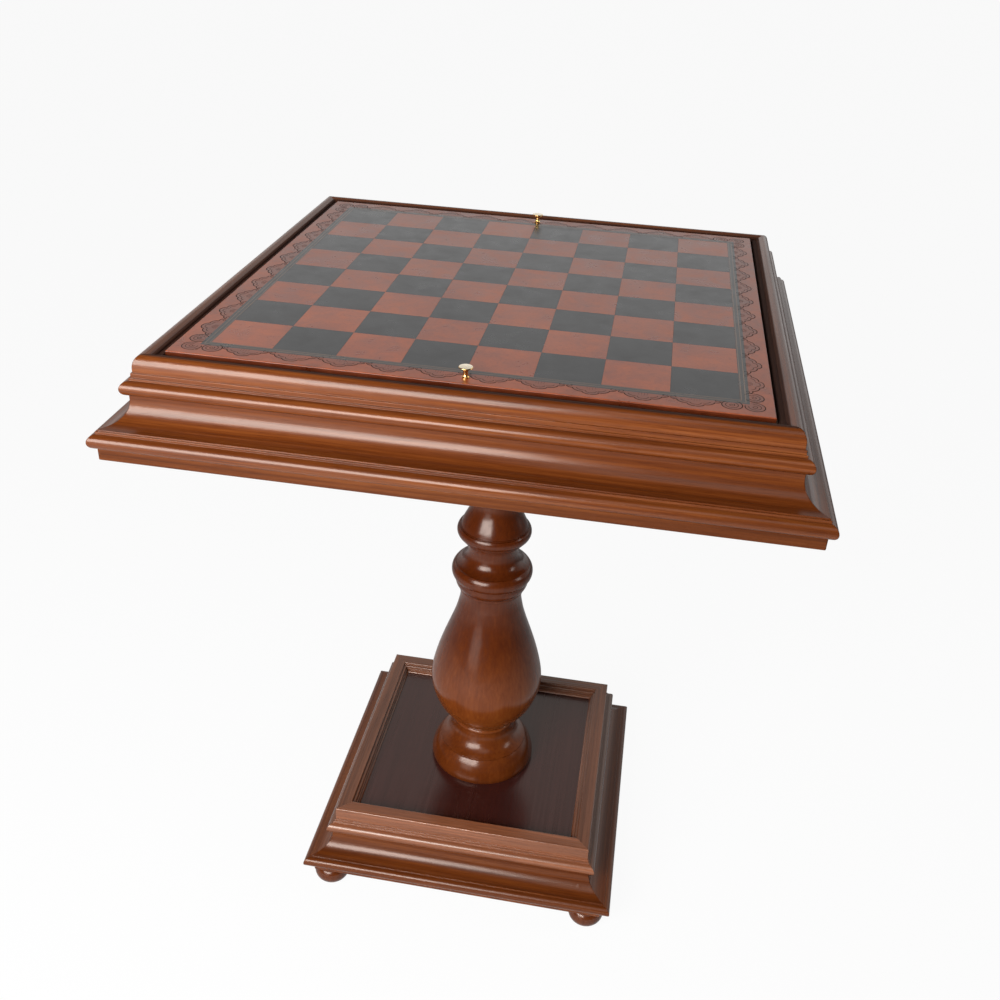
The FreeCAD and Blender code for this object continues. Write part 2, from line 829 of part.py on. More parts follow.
def base_board():
    board = eased_slab(base_board_half, base_board_z, base_board_thickness)
    board = board.cut(rod_at(nut_pocket_radius, base_board_z, base_board_thickness))
    for x, y in four_corners(foot_centre):
        board = board.cut(rod_at(spigot_radius + fit_gap, base_board_z, base_board_thickness, x, y))
    board = drilled(board, base_screw_radius, base_screw_length, base_screw_points, base_board_z)
    return drilled(board, panel_screw_radius, panel_screw_length, block_screw_points, base_board_z)


def bun_foot(x, y):
    """Turned foot with a spigot that is glued into the base board."""
    collar_z = foot_z + foot_height - foot_collar_height
    body = turned((0, foot_z), [
        ("line", foot_sole_radius, foot_z),
        ("arc", foot_radius, (foot_z + collar_z) / 2, foot_collar_radius, collar_z),
        ("line", foot_collar_radius, base_board_z),
        ("line", spigot_radius, base_board_z),
        ("line", spigot_radius, base_board_z + spigot_length),
        ("line", 0, base_board_z + spigot_length),
    ])
    return moved(body, x, y)


def foot_glides():
    glide = rod_at(glide_radius, 0, glide_thickness)
    return Part.makeCompound([moved(glide, x, y) for x, y in four_corners(foot_centre)])


def build():
    """Every piece of the table by node name."""
    parts = {}
    for side in sides:
        parts["top_rail_" + side] = top_rail(side)
        parts["top_cove_" + side] = top_cove(side)
        parts["carcass_" + side] = carcass_side(side)
        parts["wall_lining_" + side] = wall_lining(side)
        parts["base_rail_" + side] = base_rail(side)
        parts["base_cove_" + side] = base_cove(side)
    parts["bottom_panel"] = bottom_panel()
    parts["floor_lining"] = floor_lining()
    parts["bottom_panel_screws"] = screw_group(
        panel_screw_radius, panel_screw_length, panel_screw_points, bottom_panel_z)

    parts["board_core"] = board_core()
    parts["board_backing"] = board_backing()
    parts["board_border"] = board_border()
    parts["light_squares"] = board_squares(0)
    parts["dark_squares"] = board_squares(1)
    parts["knob_front"] = knob("front")
    parts["knob_rear"] = knob("rear")
    parts["knob_screws"] = knob_screws()

    parts["column"] = column()
    parts["mounting_plate"] = mounting_plate()
    parts["mounting_plate_screws"] = screw_group(
        plate_screw_radius, plate_screw_length, plate_screw_points, plate_z)
    parts["tie_rod"] = tie_rod()
    parts["tie_rod_washers"] = tie_rod_washers()
    parts["tie_rod_nuts"] = tie_rod_nuts()

    parts["base_panel"] = base_panel()
    parts["core_block"] = core_block()
    parts["core_block_screws"] = screw_group(
        panel_screw_radius, panel_screw_length, block_screw_points, base_board_z)
    parts["base_board"] = base_board()
    parts["base_board_screws"] = screw_group(
        base_screw_radius, base_screw_length, base_screw_points, base_board_z)
    corner_names = {"front": "front_right", "right": "rear_right", "rear": "rear_left", "left": "front_left"}
    for side, corner in corner_names.items():
        parts["corner_block_" + corner] = corner_block(side)
    for x, y in four_corners(foot_centre):
        corner = ("front" if y < 0 else "rear") + ("_left" if x < 0 else "_right")
        parts["bun_foot_" + corner] = bun_foot(x, y)
    parts["foot_glides"] = foot_glides()
    return parts


os.makedirs("parts", exist_ok=True)
for name, shape in build().items():
    shape.exportStep("parts/" + name + ".step")
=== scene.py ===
import math

import bpy
from mathutils import Matrix, Vector


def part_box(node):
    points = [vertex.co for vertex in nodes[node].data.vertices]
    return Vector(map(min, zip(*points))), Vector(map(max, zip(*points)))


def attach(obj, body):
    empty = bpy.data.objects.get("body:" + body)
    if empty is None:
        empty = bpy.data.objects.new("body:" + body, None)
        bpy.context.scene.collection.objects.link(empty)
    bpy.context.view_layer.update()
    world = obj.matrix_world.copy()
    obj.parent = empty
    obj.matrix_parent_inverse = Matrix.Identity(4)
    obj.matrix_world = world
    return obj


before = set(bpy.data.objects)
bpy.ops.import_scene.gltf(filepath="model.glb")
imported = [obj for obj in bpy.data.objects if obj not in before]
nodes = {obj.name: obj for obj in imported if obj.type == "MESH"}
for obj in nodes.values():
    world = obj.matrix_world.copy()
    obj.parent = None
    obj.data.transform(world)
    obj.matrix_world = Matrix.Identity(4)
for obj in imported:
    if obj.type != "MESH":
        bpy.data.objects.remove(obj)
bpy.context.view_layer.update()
scene = bpy.context.scene
scene.view_settings.view_transform = "Standard"

MM = 0.001
SIDES = ("front", "right", "rear", "left")
CORNERS = ("front_right", "rear_right", "rear_left", "front_left")


# Node helpers

class NodeTree:
    """Short ways to add and join the nodes of a material or world."""

    def __init__(self, owner):
        owner.use_nodes = True
        self.tree = owner.node_tree
        self.tree.nodes.clear()

    def node(self, kind, **settings):
        made = self.tree.nodes.new(kind)
        for key, value in settings.items():
            setattr(made, key, value)
        return made

    def link(self, source, target):
        self.tree.links.new(source, target)

    def fill(self, target, value):
        """Sets an input, or links it if the value is another node's output."""
        if isinstance(value, (int, float)):
            target.default_value = value
        elif isinstance(value, tuple):
            target.default_value = (*value, 1.0)
        else:
            self.link(value, target)

    def axis_of(self, vector, axis):
        """One coordinate of a vector."""
        split = self.node("ShaderNodeSeparateXYZ")
        self.link(vector, split.inputs[0])
        return split.outputs[axis.upper()]

    def ramp(self, factor, stops):
        """Colour ramp through stops of (position, colour), of which there are at least two."""
        made = self.node("ShaderNodeValToRGB")
        elements = made.color_ramp.elements
        for index, (position, colour) in enumerate(stops):
            if index < 2:
                elements[index].position = position
                element = elements[index]
            else:
                element = elements.new(position)
            element.color = (*colour, 1.0)
        self.link(factor, made.inputs["Fac"])
        return made.outputs["Color"]

    def span(self, factor, low, high, to_low, to_high):
        """Maps the range from low to high onto the range from to_low to to_high."""
        made = self.node("ShaderNodeMapRange")
        for name, value in (("From Min", low), ("From Max", high), ("To Min", to_low), ("To Max", to_high)):
            made.inputs[name].default_value = value
        self.link(factor, made.inputs["Value"])
        return made.outputs["Result"]

    def math(self, operation, *values):
        made = self.node("ShaderNodeMath", operation=operation)
        for index, value in enumerate(values):
            self.fill(made.inputs[index], value)
        return made.outputs[0]

    def weigh(self, first, first_share, second, second_share):
        """Sum of two values in the given shares."""
        return self.math("ADD", self.math("MULTIPLY", first, first_share),
                         self.math("MULTIPLY", second, second_share))

    def mix(self, kind, factor, first, second):
        made = self.node("ShaderNodeMix", data_type="RGBA", blend_type=kind)
        for index, value in ((0, factor), (6, first), (7, second)):
            self.fill(made.inputs[index], value)
        return made.outputs[2]

    def mix_shaders(self, share, first, second):
        made = self.node("ShaderNodeMixShader")
        self.link(share, made.inputs["Fac"])
        self.link(first, made.inputs[1])
        self.link(second, made.inputs[2])
        return made.outputs[0]


class Shading(NodeTree):
    """A material with one Principled shader."""

    def __init__(self, name):
        self.material = bpy.data.materials.new(name)
        super().__init__(self.material)
        self.shader = self.node("ShaderNodeBsdfPrincipled")
        self.link(self.shader.outputs[0], self.node("ShaderNodeOutputMaterial").inputs["Surface"])

    def set(self, **values):
        for key, value in values.items():
            self.shader.inputs[key.replace("_", " ")].default_value = value

    def plug(self, source, name):
        self.link(source, self.shader.inputs[name])

    def coordinates(self):
        return self.node("ShaderNodeTexCoord").outputs["Object"]

    def noise(self, stretch, offset, scale=1.0, detail=4.0, roughness=0.55, distortion=0.0):
        """Noise over the object's coordinates, stretched by axis and shifted."""
        mapping = self.node("ShaderNodeMapping")
        mapping.inputs["Scale"].default_value = stretch
        mapping.inputs["Location"].default_value = offset
        self.link(self.coordinates(), mapping.inputs["Vector"])
        made = self.node("ShaderNodeTexNoise")
        for name, value in (("Scale", scale), ("Detail", detail), ("Roughness", roughness),
                            ("Distortion", distortion)):
            made.inputs[name].default_value = value
        self.link(mapping.outputs["Vector"], made.inputs["Vector"])
        return made.outputs["Fac"]

    def bump(self, height, strength, distance, arris=0.0):
        """Surface relief, with the shading of sharp edges softened over the given radius."""
        made = self.node("ShaderNodeBump")
        made.inputs["Strength"].default_value = strength
        made.inputs["Distance"].default_value = distance
        self.link(height, made.inputs["Height"])
        if arris:
            softened = self.node("ShaderNodeBevel", samples=6)
            softened.inputs["Radius"].default_value = arris
            self.link(softened.outputs["Normal"], made.inputs["Normal"])
        self.plug(made.outputs["Normal"], "Normal")

    def within(self, axis, low, high, near=1.0, far=0.0, vector=None):
        """Passes from near to far as the size of one coordinate passes from low to high."""
        if vector is None:
            vector = self.coordinates()
        size = self.math("ABSOLUTE", self.axis_of(vector, axis))
        return self.span(size, low, high, near, far)


# Kinds of material

EVEN = (1.0, 1.0, 1.0)
UNMOVED = (0.0, 0.0, 0.0)

# Noise scales per metre, along and across the grain or the lathe's axis
STREAKS = (5.0, 330.0)
CLOUDS = (2.0, 42.0)
PORES = (45.0, 1700.0)
TIMBER_GRAIN = (8.0, 120.0)
LATHE_MARKS = (2400.0, 60.0)

SOFT_ARRIS = 0.5 * MM
WARM_LACQUER = (1.0, 0.88, 0.80, 1.0)
PORE_TINT = (0.5, 0.34, 0.26)

# Inner side of a frame rail, darkened by painted shade and made rougher
INNER_SHADE_TINT = (0.30, 0.26, 0.25)
INNER_SHADE_SHARE = 0.95
INNER_ROUGHNESS = 0.9
INNER_EDGE = 0.8 * MM

# Column, darkened by painted shade above its swelling and on its foot
SHADE_TINT = (0.46, 0.36, 0.33)
SHADE_RISE = 90.0 * MM
FOOT_SHADE = 0.55
FOOT_TOP = 30.0 * MM
FOOT_FADE = 16.0 * MM

# Side of the folded sheet, darkened by painted shade below its top
FOLD_SHADE_TINT = (0.30, 0.26, 0.24)
FOLD_START = 0.05 * MM
FOLD_END = 0.7 * MM

# Share of a rubbed face that is worn, and the upward part of its normal where wear starts and is full
RUBBED_SHARE = 0.85
RUBBED_FROM = 0.80
RUBBED_TO = 0.96


def along(axis, scales):
    """Scale vector with the first scale along one axis and the second across it."""
    lengthwise, across = scales
    return tuple(lengthwise if name == axis else across for name in "xyz")


def wood(name, axis, tones, offset, gloss=0.22, polish=1.42, pore_depth=0.5,
         shade_and_dull_inside=None, swelling=None):
    """Stained and lacquered wood with streaks, pores and darker clouds along the grain.

    Here and below, gloss is the mean roughness and polish is the IOR of the lacquer or skin.
    Painted shade darkens the side of a frame rail that faces its middle, up to the given distance from it,
    and that side is also rougher.
    Painted shade darkens a column above the height of its swelling, and on its foot.
    """
    s = Shading(name)
    dark, middle, light = tones
    streaks = s.noise(along(axis, STREAKS), offset, detail=5.0, roughness=0.6, distortion=0.2)
    clouds = s.noise(along(axis, CLOUDS), offset, detail=3.0, roughness=0.5, distortion=0.3)
    pores = s.noise(along(axis, PORES), offset, detail=2.0, roughness=0.6)
    colour = s.ramp(s.weigh(streaks, 0.6, clouds, 0.4), [(0.32, dark), (0.5, middle), (0.68, light)])
    colour = s.mix("MULTIPLY", s.span(pores, 0.54, 0.66, 0.0, pore_depth), colour, PORE_TINT)
    roughness = s.span(streaks, 0.3, 0.7, gloss + 0.07, gloss - 0.05)
    # Painted shade on the inner side of a rail, which is also rougher
    if shade_and_dull_inside is not None:
        across = "y" if axis == "x" else "x"
        inside = s.within(across, shade_and_dull_inside - INNER_EDGE, shade_and_dull_inside + INNER_EDGE)
        colour = s.mix("MULTIPLY", s.math("MULTIPLY", inside, INNER_SHADE_SHARE), colour, INNER_SHADE_TINT)
        roughness = s.math("MAXIMUM", roughness, s.math("MULTIPLY", inside, INNER_ROUGHNESS))
    # Painted shade on a column, above its swelling and on its foot
    if swelling is not None:
        above = s.within("z", swelling, swelling + SHADE_RISE, 0.0, 1.0)
        foot = s.within("z", swelling - FOOT_TOP - FOOT_FADE, swelling - FOOT_TOP, FOOT_SHADE, 0.0)
        colour = s.mix("MULTIPLY", s.math("MAXIMUM", above, foot), colour, SHADE_TINT)
    s.plug(colour, "Base Color")
    s.plug(roughness, "Roughness")
    s.set(IOR=polish, Specular_Tint=WARM_LACQUER)
    s.bump(s.weigh(streaks, 0.6, pores, 0.4), 0.08, 0.3 * MM, SOFT_ARRIS)
    return s.material


def leathercloth(name, deep, middle, pale, gloss=0.3, polish=1.55, shaded_fold_below=None):
    """Printed leathercloth, mottled and faintly grained, with a glossy skin.

    Painted shade darkens the side of a folded sheet, below the given height of its top.
    """
    s = Shading(name)
    cloud = s.noise(EVEN, UNMOVED, scale=55.0, detail=5.0, roughness=0.6, distortion=0.5)
    wide = s.noise(EVEN, (3.0, 1.0, 0.0), scale=14.0, detail=2.0, roughness=0.5)
    speckle = s.noise(EVEN, (0.0, 5.0, 0.0), scale=420.0, detail=3.0, roughness=0.6)
    cells = s.node("ShaderNodeTexVoronoi")
    cells.inputs["Scale"].default_value = 900.0
    s.link(s.coordinates(), cells.inputs["Vector"])
    colour = s.ramp(s.weigh(cloud, 0.6, wide, 0.4), [(0.38, deep), (0.5, middle), (0.63, pale)])
    colour = s.mix("MULTIPLY", s.span(speckle, 0.52, 0.7, 0.0, 0.35), colour, (0.55, 0.5, 0.48))
    # Painted shade on the folded side of the sheet
    if shaded_fold_below is not None:
        side = s.within("z", shaded_fold_below - FOLD_END, shaded_fold_below - FOLD_START)
        colour = s.mix("MULTIPLY", side, colour, FOLD_SHADE_TINT)
    s.plug(colour, "Base Color")
    s.plug(s.span(cloud, 0.3, 0.7, gloss - 0.04, gloss + 0.06), "Roughness")
    s.set(IOR=polish)
    s.bump(s.math("ADD", cells.outputs["Distance"], speckle), 0.1, 0.2 * MM)
    return s.material


def board_stock(name, axis, dark, light):
    """Unfinished timber or fibreboard, with a soft grain."""
    s = Shading(name)
    grain = s.noise(along(axis, TIMBER_GRAIN), UNMOVED, detail=5.0, roughness=0.6, distortion=0.4)
    fleck = s.noise(EVEN, UNMOVED, scale=700.0, detail=2.0, roughness=0.5)
    colour = s.ramp(grain, [(0.35, dark), (0.65, light)])
    s.plug(s.mix("MULTIPLY", s.span(fleck, 0.5, 0.7, 0.0, 0.4), colour, (0.6, 0.5, 0.42)), "Base Color")
    s.plug(s.span(grain, 0.3, 0.7, 0.7, 0.58), "Roughness")
    s.bump(s.math("ADD", grain, fleck), 0.2, 0.3 * MM)
    return s.material


def felt(name, deep, pale):
    """Matt felt with fine fibres."""
    s = Shading(name)
    fibres = s.noise(EVEN, UNMOVED, scale=1100.0, detail=4.0, roughness=0.7, distortion=1.5)
    patches = s.noise(EVEN, UNMOVED, scale=22.0, detail=2.0, roughness=0.5)
    s.plug(s.ramp(s.weigh(fibres, 0.65, patches, 0.35), [(0.35, deep), (0.65, pale)]), "Base Color")
    s.plug(s.span(fibres, 0.3, 0.7, 0.98, 0.88), "Roughness")
    s.set(Sheen_Weight=0.06, Sheen_Roughness=0.5)
    s.bump(fibres, 0.5, 0.5 * MM)
    return s.material


def metal(name, dull, bright, rough_low, rough_high, rubbed=None):
    """Metal turned about the z axis, worn paler where it faces up if a rubbed colour is given."""
    s = Shading(name)
    turned = s.noise(along("z", LATHE_MARKS), UNMOVED, detail=3.0, roughness=0.6)
    tarnish = s.noise(EVEN, UNMOVED, scale=260.0, detail=3.0, roughness=0.6)
    colour = s.ramp(tarnish, [(0.35, dull), (0.6, bright)])
    if rubbed is not None:
        normal = s.node("ShaderNodeNewGeometry").outputs["Normal"]
        worn = s.within("z", RUBBED_FROM, RUBBED_TO, 0.0, RUBBED_SHARE, normal)
        colour = s.mix("MIX", worn, colour, rubbed)
    s.plug(colour, "Base Color")
    s.plug(s.span(tarnish, 0.3, 0.7, rough_high, rough_low), "Roughness")
    s.set(Metallic=1.0)
    s.bump(turned, 0.06, 0.1 * MM)
    return s.material


# Materials

# Dark, middle and light tones of each stain
STAIN = ((0.068, 0.0150, 0.0030), (0.130, 0.0320, 0.0066), (0.220, 0.0640, 0.0150))
# Cove tones: the rail stain, darkened as painted shade
COVE_STAIN_AND_SHADE = ((0.060, 0.0125, 0.0022), (0.108, 0.0250, 0.0045), (0.180, 0.0500, 0.0105))
# Apron tones: the rail stain, darkened as painted shade
APRON_STAIN_AND_SHADE = ((0.050, 0.0115, 0.0023), (0.092, 0.0225, 0.0046), (0.155, 0.0450, 0.0105))
# Column tones: the feet's turned stain, made paler as painted light on the vase's belly
COLUMN_STAIN_AND_LIGHT = ((0.112, 0.0245, 0.0042), (0.150, 0.0350, 0.0060), (0.195, 0.0505, 0.0094))
FOOT_STAIN = ((0.066, 0.0132, 0.0026), (0.090, 0.0195, 0.0038), (0.120, 0.0285, 0.0062))
# Base tones: the rail stain, made paler and pinker as a painted sheen
BASE_STAIN_AND_SHEEN = ((0.098, 0.0310, 0.0125), (0.175, 0.0600, 0.0265), (0.280, 0.1010, 0.0470))
EBONISED = ((0.029, 0.0067, 0.0053), (0.037, 0.0087, 0.0069), (0.046, 0.0112, 0.0088))
TIMBER = ((0.33, 0.20, 0.11), (0.50, 0.34, 0.20))

# Painted light and shade: how much each base rail's stain is lightened or darkened, lightest at the front and
# darker elsewhere
BASE_PAINTED_LIGHT = {"front": 1.22, "rear": 0.90, "right": 0.78, "left": 0.74}

# Direction of the grain, and shifts that give each length its own figure
GRAIN = {"front": "x", "rear": "x", "right": "y", "left": "y"}
RAIL_OFFSETS = {
    "front": (0.0, 0.0, 0.0), "rear": (0.7, 0.3, 0.1), "right": (0.2, 0.9, 0.4), "left": (0.5, 0.1, 0.8),
}
COVE_OFFSETS = {
    "front": (1.3, 2.1, 0.6), "rear": (2.7, 1.4, 0.2), "right": (1.9, 0.2, 1.3), "left": (3.1, 1.6, 0.9),
}
TURNED_OFFSET = (0.4, 0.8, 0.0)

# Distances from the table's middle to the crest of the top rails and to their inner step
TOP_CREST = 238.8 * MM
TOP_STEP = 232.8 * MM
# How far the painted shade and roughness on each top rail's inner side reach from the middle
SHADE_AND_DULL_SIDE = {"front": TOP_CREST, "rear": TOP_STEP, "right": TOP_STEP, "left": TOP_STEP}

# Height at which painted shade starts to darken the vase of the column
VASE_SWELLING = 176.0 * MM

top_moulding, base_moulding, cove_wood = {}, {}, {}
for side in SIDES:
    # The base rails share one stain, scaled on each side by its painted light and shade
    base_tones_with_painted_light = [[BASE_PAINTED_LIGHT[side] * channel for channel in tone] for tone in BASE_STAIN_AND_SHEEN]
    top_moulding[side] = wood("top_moulding_" + side, GRAIN[side], STAIN, RAIL_OFFSETS[side],
                              shade_and_dull_inside=SHADE_AND_DULL_SIDE[side])
    base_moulding[side] = wood("base_moulding_" + side, GRAIN[side], base_tones_with_painted_light, RAIL_OFFSETS[side],
                               gloss=0.24, polish=1.62)
    cove_wood[side] = wood("cove_" + side, GRAIN[side], COVE_STAIN_AND_SHADE, COVE_OFFSETS[side])
column_wood = wood("column_wood", "z", COLUMN_STAIN_AND_LIGHT, TURNED_OFFSET, gloss=0.20, polish=1.40,
                   pore_depth=0.2, swelling=VASE_SWELLING)
turned_wood = wood("turned_wood", "z", FOOT_STAIN, TURNED_OFFSET, gloss=0.20, polish=1.50, pore_depth=0.2)
panel_wood = wood("panel_wood", "x", APRON_STAIN_AND_SHADE, (0.9, 0.6, 2.0), gloss=0.3, polish=1.28)
plate_wood = wood("plate_wood", "y", STAIN, (2.2, 0.6, 1.0))
dark_panel = wood("dark_panel", "y", EBONISED, (0.3, 0.2, 0.7), polish=1.62)

timber_x = board_stock("inner_wood_x", "x", *TIMBER)
timber_y = board_stock("inner_wood_y", "y", *TIMBER)
fibreboard = board_stock("fibreboard", "x", (0.26, 0.16, 0.09), (0.36, 0.23, 0.13))

border_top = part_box("board_border")[1].z - nodes["board_border"].matrix_world.translation.z
light_cloth = leathercloth(
    "light_cloth", (0.285, 0.050, 0.0090), (0.370, 0.072, 0.0140), (0.455, 0.097, 0.0220))
dark_cloth = leathercloth(
    "dark_cloth", (0.003, 0.003, 0.003), (0.005, 0.005, 0.0045), (0.010, 0.009, 0.008))
border_cloth = leathercloth(
    "border_cloth", (0.260, 0.050, 0.0110), (0.350, 0.071, 0.0165), (0.440, 0.095, 0.0250),
    polish=1.48, shaded_fold_below=border_top)
tooled_cloth = leathercloth(
    "tooled_cloth", (0.180, 0.036, 0.0095), (0.245, 0.051, 0.0140), (0.315, 0.068, 0.0205),
    polish=1.48)
band_cloth = leathercloth(
    "band_cloth", (0.010, 0.008, 0.006), (0.020, 0.015, 0.011), (0.034, 0.024, 0.017))
tooling_dark = leathercloth(
    "tooling_dark", (0.006, 0.003, 0.002), (0.012, 0.006, 0.004), (0.020, 0.010, 0.007),
    gloss=0.75, polish=1.2)
tooling_light = leathercloth(
    "tooling_light", (0.10, 0.055, 0.030), (0.14, 0.080, 0.046), (0.19, 0.11, 0.066))

lining_felt = felt("lining_felt", (0.028, 0.014, 0.010), (0.060, 0.030, 0.022))
sole_felt = felt("sole_felt", (0.020, 0.018, 0.016), (0.045, 0.040, 0.036))

brass = metal("brass", (0.66, 0.36, 0.10), (0.90, 0.60, 0.24), 0.15, 0.28, rubbed=(0.94, 0.86, 0.70))
steel = metal("steel", (0.36, 0.35, 0.33), (0.58, 0.56, 0.53), 0.28, 0.42)
zinc = metal("zinc", (0.40, 0.40, 0.41), (0.60, 0.60, 0.62), 0.3, 0.5)


# Finishes of the CAD nodes

def finish(name, material):
    """Puts a material in every slot of a node."""
    slots = nodes[name].data.materials
    if len(slots) == 0:
        slots.append(material)
    for index in range(len(slots)):
        slots[index] = material


for side in SIDES:
    finish("top_rail_" + side, top_moulding[side])
    finish("base_rail_" + side, base_moulding[side])
    finish("top_cove_" + side, cove_wood[side])
    finish("base_cove_" + side, cove_wood[side])
    finish("carcass_" + side, timber_x if GRAIN[side] == "x" else timber_y)
    finish("wall_lining_" + side, lining_felt)
for corner in CORNERS:
    finish("corner_block_" + corner, timber_x)
    finish("bun_foot_" + corner, turned_wood)
for name, material in {
    "bottom_panel": panel_wood,
    "floor_lining": lining_felt,
    "board_core": fibreboard,
    "board_backing": lining_felt,
    "board_border": border_cloth,
    "light_squares": light_cloth,
    "dark_squares": dark_cloth,
    "knob_front": brass,
    "knob_rear": brass,
    "column": column_wood,
    "mounting_plate": plate_wood,
    "base_panel": dark_panel,
    "core_block": timber_x,
    "base_board": plate_wood,
    "foot_glides": sole_felt,
    "tie_rod": zinc,
    "tie_rod_nuts": zinc,
    "tie_rod_washers": zinc,
    "knob_screws": steel,
    "bottom_panel_screws": steel,
    "mounting_plate_screws": steel,
    "core_block_screws": steel,
    "base_board_screws": steel,
}.items():
    finish(name, material)


# Tooled ornament and printed bands of the border. Lengths are in millimetres.

light_low, light_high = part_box("light_squares")
dark_low, dark_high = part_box("dark_squares")
board_x = (min(light_low.x, dark_low.x) + max(light_high.x, dark_high.x)) / 2
surface = light_high.z

# Distance from the middle of the squares to their edge
edge = (max(light_high.y, dark_high.y) - min(light_low.y, dark_low.y)) / 2 / MM

PITCH = 37.4
MOTIFS = 10
SUNK = 0.05
RAISED = 0.10
GROUND_RISE = 0.02

# One half of a motif, as (along the edge, outward from the squares)
OUTLINES = [
    [(0.0, 18.8), (2.6, 18.4), (5.0, 17.0), (6.2, 14.8)],
    [(6.2, 14.8), (8.2, 14.9), (11.0, 13.6), (13.0, 11.2), (13.3, 9.6)],
    [(13.3, 9.6), (15.2, 9.8), (17.2, 8.6), (18.4, 6.6)],
]
ECHOES = [
    [(0.0, 15.9), (2.0, 15.5), (3.5, 14.2), (4.2, 12.4)],
    [(5.0, 12.3), (7.4, 12.2), (9.6, 10.9), (10.8, 9.0)],
    [(17.6, 5.6), (16.4, 7.2), (14.9, 7.4), (14.0, 6.2), (14.5, 5.0), (15.6, 5.1)],
]
TICKS = [(-3.0, 6.0, 9.4), (-1.0, 6.0, 10.4), (1.0, 6.0, 10.4), (3.0, 6.0, 9.4)]
GROUND_FOOT = [(18.4, 5.0), (-18.4, 5.0)]
OUTLINE_WIDTH = 1.25
ECHO_WIDTH = 0.85
TICK_WIDTH = 0.7
END_TAPER = 0.35

# Three petals in each corner: distances from the corner of the squares, and the opening's direction
PETALS = [(10.0, 10.0, -135.0), (-6.2, 10.0, -90.0), (10.0, -6.2, 180.0)]
PETAL_RADIUS = 7.9
PETAL_ECHO = 0.62
PETAL_CLOSING = 0.86
PETAL_START = 30.0
PETAL_SWEEP = 300.0
CURL_RADII = (2.4, 0.7)
CURL_SWEEP = 420.0
CIRCLE_SWEEP = -346.0

# Printed bands: inner and outer distance from the squares, height above the sheet, material
BANDS = {
    "tooled_band": (-0.8, 5.9, 0.03, band_cloth),
    "tooled_line_inner": (-0.2, 0.5, 0.06, tooling_light),
    "tooled_line_outer": (2.8, 3.6, 0.06, tooling_light),
}

# The bands lie a little to the right of the squares
BAND_SLIP = 0.9


def piece(name, vertices, faces, material):
    """A mesh that lies on the board and moves with it."""
    mesh = bpy.data.meshes.new(name)
    mesh.from_pydata(vertices, [], faces)
    mesh.update()
    mesh.materials.append(material)
    made = bpy.data.objects.new(name, mesh)
    made.location = (board_x, 0.0, surface)
    scene.collection.objects.link(made)
    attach(made, "board")


def smooth(points, steps=4):
    """Catmull-Rom curve through the points."""
    path = [Vector(p) for p in points]
    ends = [path[0] * 2 - path[1]] + path + [path[-1] * 2 - path[-2]]
    drawn = []
    for a, b, c, d in zip(ends, ends[1:], ends[2:], ends[3:]):
        for step in range(steps):
            t = step / steps
            drawn.append(0.5 * (2 * b + (c - a) * t + (2 * a - 5 * b + 4 * c - d) * t * t
                                + (3 * b - a - 3 * c + d) * t ** 3))
    return drawn + [path[-1]]


def spiral(centre, start_radius, end_radius, start, sweep, steps=26):
    """Points of an arc in degrees, whose radius changes evenly."""
    points = []
    for step in range(steps + 1):
        share = step / steps
        angle = math.radians(start + sweep * share)
        radius = start_radius + (end_radius - start_radius) * share
        points.append(Vector((centre[0] + radius * math.cos(angle), centre[1] + radius * math.sin(angle))))
    return points


def on_edge(point, side):
    """Point given along and outward of one edge, seen from the middle of the board."""
    along_edge, outward = point
    spot = Vector((along_edge, -(edge + outward)))
    for turn in range(side):
        spot = Vector((-spot.y, spot.x))
    return spot


def placed(points, middle, mirror, side):
    """Points of a motif, mirrored or not, whose middle lies at a place along one edge."""
    return [on_edge((middle + mirror * x, y), side) for x, y in points]


class Ribbons:
    """Low raised lines along many paths, as one mesh."""

    def __init__(self):
        self.vertices = []
        self.faces = []

    def add(self, path, width):
        first = len(self.vertices)
        count = len(path)
        for index, point in enumerate(path):
            ahead = path[min(index + 1, count - 1)] - path[max(index - 1, 0)]
            side = Vector((-ahead.y, ahead.x)).normalized() * width / 2
            taper = END_TAPER if index in (0, count - 1) else 1.0
            for offset, height in ((side * taper, -SUNK), (Vector((0, 0)), RAISED), (-side * taper, -SUNK)):
                spot = point + offset
                self.vertices.append((spot.x * MM, spot.y * MM, height * MM))
        for index in range(count - 1):
            a = first + 3 * index
            for k in range(3):
                m = (k + 1) % 3
                self.faces.append((a + k, a + m, a + 3 + m, a + 3 + k))
        self.faces.append((first + 2, first + 1, first))
        last = first + 3 * (count - 1)
        self.faces.append((last, last + 1, last + 2))


class Patches:
    """Thin flat patches, as one mesh."""

    def __init__(self):
        self.vertices = []
        self.faces = []

    def add(self, rim):
        first = len(self.vertices)
        count = len(rim)
        for height in (-SUNK, GROUND_RISE):
            self.vertices.extend((p.x * MM, p.y * MM, height * MM) for p in rim)
        top = [first + count + k for k in range(count)]
        bottom = [first + k for k in range(count)]
        self.faces.append(tuple(top))
        self.faces.append(tuple(reversed(bottom)))
        for k in range(count):
            m = (k + 1) % count
            self.faces.append((bottom[k], bottom[m], top[m], top[k]))


def motif(ornament, ground, middle, side):
    """One scallop: its darker ground, outlines, echo lines and ticks."""
    half = [point for line in OUTLINES for point in smooth(line)]
    rim = [(-p.x, p.y) for p in reversed(half)] + [(p.x, p.y) for p in half[1:]]
    ground.add(placed(rim + GROUND_FOOT, middle, 1, side))
    for mirror in (-1, 1):
        for line in OUTLINES:
            ornament.add(placed(smooth(line), middle, mirror, side), OUTLINE_WIDTH)
        for line in ECHOES:
            ornament.add(placed(smooth(line), middle, mirror, side), ECHO_WIDTH)
    for x, low, high in TICKS:
        ornament.add(placed([(x, low), (x, high)], middle, 1, side), TICK_WIDTH)


